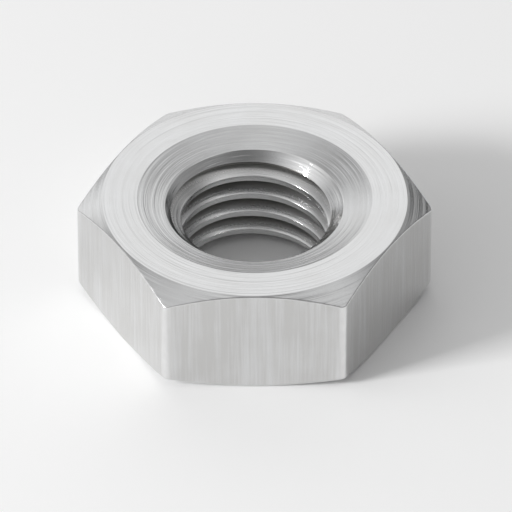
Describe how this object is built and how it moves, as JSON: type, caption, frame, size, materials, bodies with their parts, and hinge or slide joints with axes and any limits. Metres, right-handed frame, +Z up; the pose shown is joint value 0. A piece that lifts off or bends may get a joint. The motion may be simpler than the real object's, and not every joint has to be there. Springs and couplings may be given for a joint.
{
  "type": "hex machine screw nut",
  "caption": "Hexagonal machine screw nut with chamfered corners on both faces, a shallow dish around the mouth and a tapped through hole for a machine screw.",
  "frame": {"origin": "centre of the bearing face, on the axis of the hole", "axes": "+Z up the axis of the hole, from the bearing face to the dished top face; +X through an upright edge; the flats at the front and the rear are square to Y"},
  "size_m": [0.0164, 0.0142, 0.0054],
  "materials": {
    "zinc_steel": "satin bright zinc plate, with turning marks on the faces and draw marks on the flats"
  },
  "bodies": {
    "root": {"nut": "zinc_steel"}
  },
  "joints": []
}
